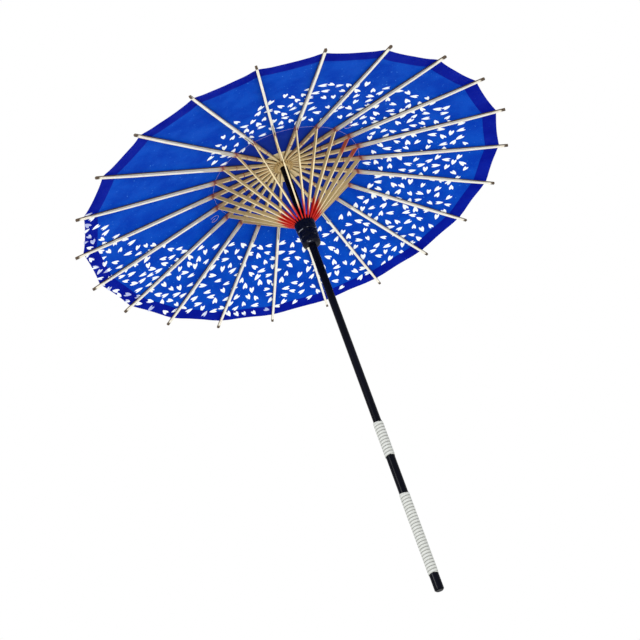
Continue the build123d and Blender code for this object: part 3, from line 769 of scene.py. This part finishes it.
def printed_petals(index):
    """The petals printed on one strip, as a list that is empty where the drift doesn't reach."""
    points = []
    faces = []
    for petal in petals_of_rib[index]:
        over_hem = math.hypot(petal[0], petal[1]) > HEM_PETAL_RADIUS
        for layer in HEM_PETAL_LAYERS if over_hem else PETAL_LAYERS:
            add_petal(points, faces, petal, layer)
    if not points:
        return []
    flat_map = [(point.x, point.y) for point in points]
    petals = mesh_object(f"petals_{index + 1:02d}", points, faces, PETAL_PRINT, None, flat_map)
    return [ride_and_fold(petals, index)]


for index in RIBS:
    canopy_strip, hem_strip = canopy_and_hem(index)
    disc_name = f"crown_disc_{index + 1:02d}"
    disc_strip = paper_strip(disc_name, index, DISC_LINE, DISC_COLUMNS, CREAM_PAPER, "cream_paper")
    on_canopy = [hem_strip] + printed_petals(index)

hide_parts("canopy")
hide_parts("canopy_hem")
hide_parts("crown_disc")


# ---- threads and cane ---------------------------------------------------------------------------
THREAD_SIDES = 6
RING_SIDES = 8
CORD_SIDES = 10
# A run of thread this near to upright takes its sides from another direction.
STEEP_RUN = 0.1


def tube(path, radius, sides, closed=False):
    """Points, faces and UVs of a round thread along a path. A UV is metres along it, and turns round it."""
    points = []
    flat_map = []
    count = len(path)
    length = 0.0
    side_guess = Vector((0.0, 0.0, 1.0))
    for at, centre in enumerate(path):
        before = path[at - 1] if at or closed else centre
        after = path[(at + 1) % count] if at + 1 < count or closed else centre
        run = (after - before).normalized()
        first = side_guess.cross(run)
        if first.length < STEEP_RUN:
            first = Vector((1.0, 0.0, 0.0)).cross(run)
        first.normalize()
        second = run.cross(first)
        if at:
            length += (centre - path[at - 1]).length
        for side in range(sides):
            angle = 2 * math.pi * side / sides
            points.append(centre + (first * math.cos(angle) + second * math.sin(angle)) * radius)
            flat_map.append((length, abs(1 - 2 * side / sides)))
    faces = []
    for at in range(count if closed else count - 1):
        nxt = (at + 1) % count
        for side in range(sides):
            other = (side + 1) % sides
            faces.append((at * sides + side, at * sides + other, nxt * sides + other, nxt * sides + side))
    if not closed:
        faces.append(tuple(range(sides))[::-1])
        faces.append(tuple(range((count - 1) * sides, count * sides)))
    return points, faces, flat_map


def gather(parts):
    """Several tubes as one set of points, faces and UVs."""
    points = []
    faces = []
    flat_map = []
    for part_points, part_faces, part_map in parts:
        start = len(points)
        points.extend(part_points)
        flat_map.extend(part_map)
        faces.extend(tuple(start + corner for corner in face) for face in part_faces)
    return points, faces, flat_map


RING_THREAD_RADIUS = 0.00020
RING_SAG = 0.0006
RING_STEPS = 6
# The ring passes above the stretchers' slots, so that nothing crosses it when the parasol shuts.
RING_LIFT = 0.0012
# Loose curls are left beside a few joints, further out and to one side. A curl is an oval that drifts
# aside as it turns.
CURLED_RIBS = (2, 9, 14)
CURL_HALF_WIDTH = 0.0042
CURL_HALF_LENGTH = 0.0080
CURL_THREAD_RADIUS = 0.00035
CURL_OUTWARD = 0.018
CURL_ASIDE = 0.0115
CURL_DRIFT = 0.0009
CURL_TURN = 2.2 * math.pi
CURL_STEPS = 22


def over_rib_line(index, radius, lift):
    """The point lift above a rib's pivot line, at a radius."""
    point = rib_direction(index) * radius
    point.z = HUB_PIVOT_HEIGHT - (radius - HUB_PIVOT_RADIUS) * math.tan(DROOP) + lift
    return point


def curl(index):
    """A loose loop in the thread, left beside a joint."""
    path = []
    for turn in spaced(0.0, CURL_TURN, CURL_STEPS):
        along = JOINT_RADIUS + CURL_OUTWARD + CURL_HALF_LENGTH * math.sin(turn)
        across = CURL_ASIDE + CURL_HALF_WIDTH * math.cos(turn) + CURL_DRIFT * turn
        path.append(over_rib_line(index, along, RING_LIFT) + rib_across(index) * across)
    return path


def ring_run(index, side):
    """The ring thread from a rib's side to the middle of the gap. It sags a little, and cuts the corner."""
    gap_middle = JOINT_RADIUS * math.sin(HALF_PITCH)
    path = []
    for step in spaced(0.0, 1.0, RING_STEPS):
        across = RIB_HALF_WIDTH + (gap_middle - RIB_HALF_WIDTH) * step
        inward = across * math.tan(HALF_PITCH) * 0.5 * step
        sag = RING_SAG * (1 - (1 - step) ** 2)
        point = over_rib_line(index, JOINT_RADIUS, RING_LIFT - sag) - rib_direction(index) * inward
        path.append(point + rib_across(index) * side * across)
    return path


for index in RIBS:
    runs = [tube(ring_run(index, side), RING_THREAD_RADIUS, THREAD_SIDES) for side in (-1, 1)]
    if index in CURLED_RIBS:
        runs.append(tube(curl(index), CURL_THREAD_RADIUS, THREAD_SIDES))
    points, faces, flat_map = gather(runs)
    ring = mesh_object(f"joint_thread_{index + 1:02d}", points, faces, PINK_THREAD, "pink_thread", flat_map)
    ride_and_fold(ring, index)
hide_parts("joint_thread")

# Dark red thread is wound under each rib at two places between the hub and the joint. Its sides are let
# into the bamboo, so that neighbouring ribs can lie against each other. A section is half the rib's width
# and its depth below the pivot line there.
TIE_RADII = (0.075, 0.101)
TIE_SECTIONS = ((0.0019, 0.0047), (0.0019, 0.0050))
TIE_THREAD_RADIUS = 0.00025
TIE_TURNS = (-0.00048, 0.0, 0.00048)
TIE_UPPER_END = 0.0014
TIE_INSET = 0.00018
TIE_CORNER_DEPTH = 0.85
TIE_CORNER_WIDTH = 0.8


def rib_tie(index, radius, half_width, depth):
    """One set of turns: up one side of the rib, across its underside, and up the other side."""
    direction = rib_direction(index)
    up = direction * math.sin(DROOP) + Vector((0.0, 0.0, math.cos(DROOP)))
    side = rib_across(index) * (half_width - TIE_INSET)
    corner = TIE_CORNER_DEPTH * depth
    outline = (
        (-1.0, TIE_UPPER_END),
        (-1.0, -corner),
        (-TIE_CORNER_WIDTH, -depth),
        (TIE_CORNER_WIDTH, -depth),
        (1.0, -corner),
        (1.0, TIE_UPPER_END),
    )
    turns = []
    for shift in TIE_TURNS:
        centre = over_rib_line(index, radius + shift, 0.0)
        path = [centre + side * across + up * rise for across, rise in outline]
        turns.append(tube(path, TIE_THREAD_RADIUS, THREAD_SIDES))
    return turns


for index in RIBS:
    ties = []
    for radius, (half_width, depth) in zip(TIE_RADII, TIE_SECTIONS):
        ties.extend(rib_tie(index, radius, half_width, depth))
    points, faces, flat_map = gather(ties)
    tie = mesh_object(f"rib_ties_{index + 1:02d}", points, faces, RED_THREAD, "red_thread", flat_map)
    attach(tie, body_of_rib(index))


PIVOT_THREAD_RADIUS = 0.0005
PIVOT_THREAD_STEPS = 88


def pivot_ring(name, radius, height, body, node_name):
    """The closed ring of red thread that a row of members turns on."""
    path = []
    for step in range(PIVOT_THREAD_STEPS):
        turn = 2 * math.pi * step / PIVOT_THREAD_STEPS
        path.append(Vector((radius * math.cos(turn), radius * math.sin(turn), height)))
    points, faces, flat_map = tube(path, PIVOT_THREAD_RADIUS, RING_SIDES, closed=True)
    made = mesh_object(name, points, faces, RED_THREAD, "red_thread", flat_map)
    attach(made, body)
    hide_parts(node_name)


pivot_ring("hub_ring", HUB_PIVOT_RADIUS, HUB_PIVOT_HEIGHT, "shaft_body", "hub_thread")
pivot_ring("runner_ring", RUNNER_PIVOT_RADIUS, RUNNER_PIVOT_HEIGHT, "runner_body", "runner_thread")


CANE_GAP = 0.00002
CANE_HEIGHT = GRIP_RADIUS - HANDLE_RADIUS - CANE_GAP
CANE_WIDTH_SHARE = 0.97
CANE_STEPS = 36
# Half the strip's round section, as (across, rise) shares of its width and height.
CANE_HALF = ((0.5, 0.0), (0.49, 0.5), (0.34, 0.84), (0.12, 0.99))
CANE_SECTION = [(-across, rise) for across, rise in CANE_HALF] + list(CANE_HALF[::-1])
# At each end the strip lies level for the first half turn, and thins to a share of its size.
CANE_LEVEL_TURNS = 0.5
CANE_TAPER_TURNS = 0.4
CANE_END_SHARE = 0.25


def wound_cane(name, bottom, top, turns, node_name):
    """A split cane wound turn beside turn round the shaft. Its ends thin out and lie level."""
    step_height = (top - bottom) / turns
    width = step_height * CANE_WIDTH_SHARE
    points = []
    flat_map = []
    total = turns * CANE_STEPS
    for step in range(total + 1):
        turn = 2 * math.pi * step / CANE_STEPS
        progress = min(1.0, max(0.0, (step / CANE_STEPS - CANE_LEVEL_TURNS) / (turns - 1)))
        middle = bottom + step_height / 2 + progress * (top - bottom - step_height)
        from_end = min(step, total - step) / CANE_STEPS
        thin = CANE_END_SHARE + (1 - CANE_END_SHARE) * smooth_share(from_end, 0.0, CANE_TAPER_TURNS)
        for across, rise in CANE_SECTION:
            radius = HANDLE_RADIUS + CANE_GAP + CANE_HEIGHT * rise * thin
            z = middle + across * width * thin
            points.append(Vector((radius * math.cos(turn), radius * math.sin(turn), z)))
            flat_map.append((turn * GRIP_RADIUS, across + 0.5))
    sides = len(CANE_SECTION)
    faces = []
    for step in range(total):
        for side in range(sides):
            other = (side + 1) % sides
            near = step * sides
            faces.append((near + side, near + other, near + sides + other, near + sides + side))
    faces.append(tuple(range(sides)))
    faces.append(tuple(range(total * sides, (total + 1) * sides))[::-1])
    made = mesh_object(name, points, faces, CANE, "rattan", flat_map)
    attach(made, "shaft_body")
    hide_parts(node_name)


wound_cane("lower_grip", *LOWER_GRIP, "lower_grip_wrap")
wound_cane("upper_grip", *UPPER_GRIP, "upper_grip_wrap")

# ---- hood ---------------------------------------------------------------------------------------
HOOD_PLEATS = 33
HOOD_PLEAT_STEPS = 6
# The hood's half section, from the middle of its top, in at the cord, and out over the canopy.
HOOD_OUTLINE = (
    (0.0, 0.81255),
    (0.004, 0.8125),
    (0.0085, 0.8123),
    (0.0106, 0.8114),
    (0.0116, 0.8098),
    (0.0117, 0.8060),
    (0.0116, 0.8042),
    (0.0113, 0.8025),
    (0.0116, 0.8008),
    (0.0121, 0.7997),
    (0.0152, 0.7988),
    (0.0176, 0.7966),
    (0.0188, 0.7951),
    (0.0230, 0.7941),
    (0.0270, 0.7931),
)
HOOD_THICKNESS = 0.00025
HOOD_SEGMENTS = HOOD_PLEATS * HOOD_PLEAT_STEPS
# Pleats are this deep on the neck and this much deeper on the skirt, and grow over these radii.
NECK_PLEAT_DEPTH = 0.00035
NECK_PLEAT_RANGE = (0.006, 0.012)
SKIRT_PLEAT_DEPTH = 0.0003
SKIRT_PLEAT_RANGE = (0.015, 0.027)
# Over these radii the hood turns from upright, with pleats in and out, to lying, with pleats up and down.
SKIRT_RANGE = (0.0125, 0.02)
SKIRT_PLEAT_SHARE = 0.8
TOP_THICKNESS_SHARE = 0.2
# The hood's UV map unrolls it from this height.
HOOD_MAP_HEIGHT = 0.813


def hood_point(radius, height, segment, inside):
    """A point of the hood's outer face, or of its inner face."""
    turn = 2 * math.pi * segment / HOOD_SEGMENTS
    depth = NECK_PLEAT_DEPTH * smooth_share(radius, *NECK_PLEAT_RANGE)
    depth += SKIRT_PLEAT_DEPTH * smooth_share(radius, *SKIRT_PLEAT_RANGE)
    fold = abs((segment / HOOD_PLEAT_STEPS) % 1.0 * 2 - 1)
    grow = depth * (fold - 1.0)
    flat_part = smooth_share(radius, *SKIRT_RANGE)
    thickness = inside * HOOD_THICKNESS
    r = radius + (grow - thickness) * (1 - flat_part)
    z = height + grow * flat_part * SKIRT_PLEAT_SHARE - thickness * max(flat_part, TOP_THICKNESS_SHARE)
    return Vector((r * math.cos(turn), r * math.sin(turn), z))


def hood():
    """Gathered paper over the hub's neck, spread in small pleats where it lies on the canopy."""
    points = [Vector((0, 0, HOOD_OUTLINE[0][1])), Vector((0, 0, HOOD_OUTLINE[0][1] - HOOD_THICKNESS))]
    flat_map = [(0.0, 0.0), (0.0, 0.0)]
    rings = HOOD_OUTLINE[1:]
    for inside in (0, 1):
        for radius, height in rings:
            map_radius = radius + HOOD_MAP_HEIGHT - height
            for segment in range(HOOD_SEGMENTS):
                turn = 2 * math.pi * segment / HOOD_SEGMENTS
                points.append(hood_point(radius, height, segment, inside))
                flat_map.append((math.cos(turn) * map_radius, math.sin(turn) * map_radius))
    faces = []
    layer = len(rings) * HOOD_SEGMENTS
    for inside in (0, 1):
        base = 2 + inside * layer
        for segment in range(HOOD_SEGMENTS):
            nxt = (segment + 1) % HOOD_SEGMENTS
            cap = (inside, base + segment, base + nxt)
            faces.append(cap[::-1] if inside else cap)
            for ring in range(len(rings) - 1):
                upper = base + ring * HOOD_SEGMENTS
                lower = upper + HOOD_SEGMENTS
                quad = (upper + segment, lower + segment, lower + nxt, upper + nxt)
                faces.append(quad[::-1] if inside else quad)
    outer_edge = 2 + (len(rings) - 1) * HOOD_SEGMENTS
    inner_edge = outer_edge + layer
    for segment in range(HOOD_SEGMENTS):
        nxt = (segment + 1) % HOOD_SEGMENTS
        faces.append((outer_edge + segment, inner_edge + segment, inner_edge + nxt, outer_edge + nxt))
    made = mesh_object("hood", points, faces, HOOD_PAPER, "hood_paper", flat_map)
    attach(made, "shaft_body")
    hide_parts("crown_cap")


hood()

# Two turns of cord tie the hood round its neck, each as much higher as the pitch.
CORD_RADIUS = 0.0008
CORD_TURNS = 2
CORD_STEPS = 60
CORD_PATH_RADIUS = 0.0125
CORD_BOTTOM = 0.8017
CORD_PITCH = 0.000807

cord_path = []
for step in range(CORD_TURNS * CORD_STEPS + 1):
    turn = 2 * math.pi * step / CORD_STEPS
    height = CORD_BOTTOM + CORD_PITCH * step / CORD_STEPS
    cord_path.append(Vector((CORD_PATH_RADIUS * math.cos(turn), CORD_PATH_RADIUS * math.sin(turn), height)))
points, faces, flat_map = tube(cord_path, CORD_RADIUS, CORD_SIDES)
hood_cord = mesh_object("hood_cord_wrap", points, faces, HOOD_CORD, "hood_cord", flat_map)
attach(hood_cord, "shaft_body")
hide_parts("cap_cord")

# ---- floor, light and camera --------------------------------------------------------------------
FLOOR_HEIGHT = -1.0
FLOOR_HALF = 6.0
FLOOR_CORNERS = [
    (x * FLOOR_HALF, y * FLOOR_HALF, FLOOR_HEIGHT) for x, y in ((-1, -1), (1, -1), (1, 1), (-1, 1))
]
floor_mesh = bpy.data.meshes.new("floor")
floor_mesh.from_pydata(FLOOR_CORNERS, [], [(0, 1, 2, 3)])
floor_mesh.materials.append(floor_finish())
floor = bpy.data.objects.new("floor", floor_mesh)
bpy.context.collection.objects.link(floor)


LIGHT_TARGET = Vector((0.0, 0.0, 0.6))


def soft_box(name, location, size, power):
    """A square lamp that faces the parasol."""
    lamp = bpy.data.lights.new(name, "AREA")
    lamp.shape = "SQUARE"
    lamp.size = size
    lamp.energy = power
    made = bpy.data.objects.new(name, lamp)
    made.location = location
    made.rotation_euler = (LIGHT_TARGET - Vector(location)).to_track_quat("-Z", "Y").to_euler()
    bpy.context.collection.objects.link(made)


soft_box("key_light", (1.6, -2.2, 0.9), 0.9, 45)
soft_box("fill_light", (2.6, 1.4, -0.4), 1.2, 22)
soft_box("top_light", (-0.6, 0.8, 2.6), 1.5, 30)

world = bpy.data.worlds.new("studio")
world.use_nodes = True
backdrop = world.node_tree.nodes["Background"]
backdrop.inputs["Color"].default_value = (1.0, 1.0, 1.0, 1.0)
backdrop.inputs["Strength"].default_value = 1.0
bpy.context.scene.world = world
bpy.context.scene.view_settings.view_transform = "Standard"

# The view that was fitted to the photograph.
CAMERA_PLACE = Vector((2.1707, -0.7211, -0.7610))
CAMERA_AZIMUTH = math.radians(162.372)
CAMERA_ELEVATION = math.radians(28.639)
CAMERA_ROLL = math.radians(-19.892)
CAMERA_SENSOR = 36.0
CAMERA_LENS = 91.97
camera_data = bpy.data.cameras.new("camera")
camera_data.sensor_width = CAMERA_SENSOR
camera_data.lens = CAMERA_LENS
camera = bpy.data.objects.new("camera", camera_data)
sight = Vector((
    math.cos(CAMERA_AZIMUTH) * math.cos(CAMERA_ELEVATION),
    math.sin(CAMERA_AZIMUTH) * math.cos(CAMERA_ELEVATION),
    math.sin(CAMERA_ELEVATION),
))
camera.location = CAMERA_PLACE
camera.rotation_mode = "QUATERNION"
camera.rotation_quaternion = sight.to_track_quat("-Z", "Y") @ Quaternion((0, 0, 1), CAMERA_ROLL)
bpy.context.collection.objects.link(camera)
bpy.context.scene.camera = camera
